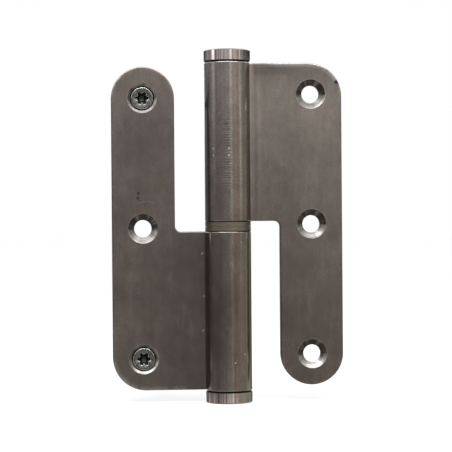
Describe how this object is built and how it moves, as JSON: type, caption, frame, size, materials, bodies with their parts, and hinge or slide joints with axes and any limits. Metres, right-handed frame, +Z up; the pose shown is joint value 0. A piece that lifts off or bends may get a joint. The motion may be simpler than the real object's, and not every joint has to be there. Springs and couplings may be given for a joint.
{
  "type": "lift-off leaf hinge",
  "caption": "Lift-off leaf hinge: flat countersunk leaves with rolled knuckles turn on a fixed pin over a ball bearing ring, with turned end caps.",
  "frame": {"origin": "centre of the lower leaf's middle screw hole, on that leaf's back face", "axes": "+Z up along the pin, +Y out of the leaves' back faces, +X from the lower leaf to the pin"},
  "size_m": [0.0716, 0.0392, 0.1087],
  "materials": {
    "satin_steel": "satin, brushed along the pin",
    "pin_steel": "ground",
    "turned_steel": "turned and polished",
    "race_steel": "turned",
    "cage_brass": "stamped",
    "ball_steel": "polished",
    "screw_steel": "bright drawn"
  },
  "bodies": {
    "lower_leaf": {"lower_leaf": "satin_steel", "pin": "pin_steel", "bottom_cap": "turned_steel", "lower_race": "race_steel", "top_screw": "screw_steel", "bottom_screw": "screw_steel"},
    "upper_race": {"upper_race": "race_steel"},
    "upper_leaf": {"upper_leaf": "satin_steel", "top_cap": "turned_steel"},
    "ball_ring": {"ball_cage": "cage_brass", "bearing_balls": "ball_steel"}
  },
  "joints": [
    {"name": "leaf_swing", "type": "hinge", "parent": "lower_leaf", "child": "upper_race", "pos_m": [0.0262, -0.0045, 0.00055], "axis": [0, 0, -1], "range_deg": [0, 180]},
    {"name": "lift_off", "type": "slide", "parent": "upper_race", "child": "upper_leaf", "axis": [0, 0, 1], "range_m": [0, 0.045]},
    {"name": "ball_travel", "type": "hinge", "parent": "lower_leaf", "child": "ball_ring", "pos_m": [0.0262, -0.0045, 0.00055], "axis": [0, 0, -1], "range_deg": [0, 90]}
  ],
  "couplings": [
    {"joint": "ball_travel", "follows": "leaf_swing", "ratio": 0.5}
  ]
}
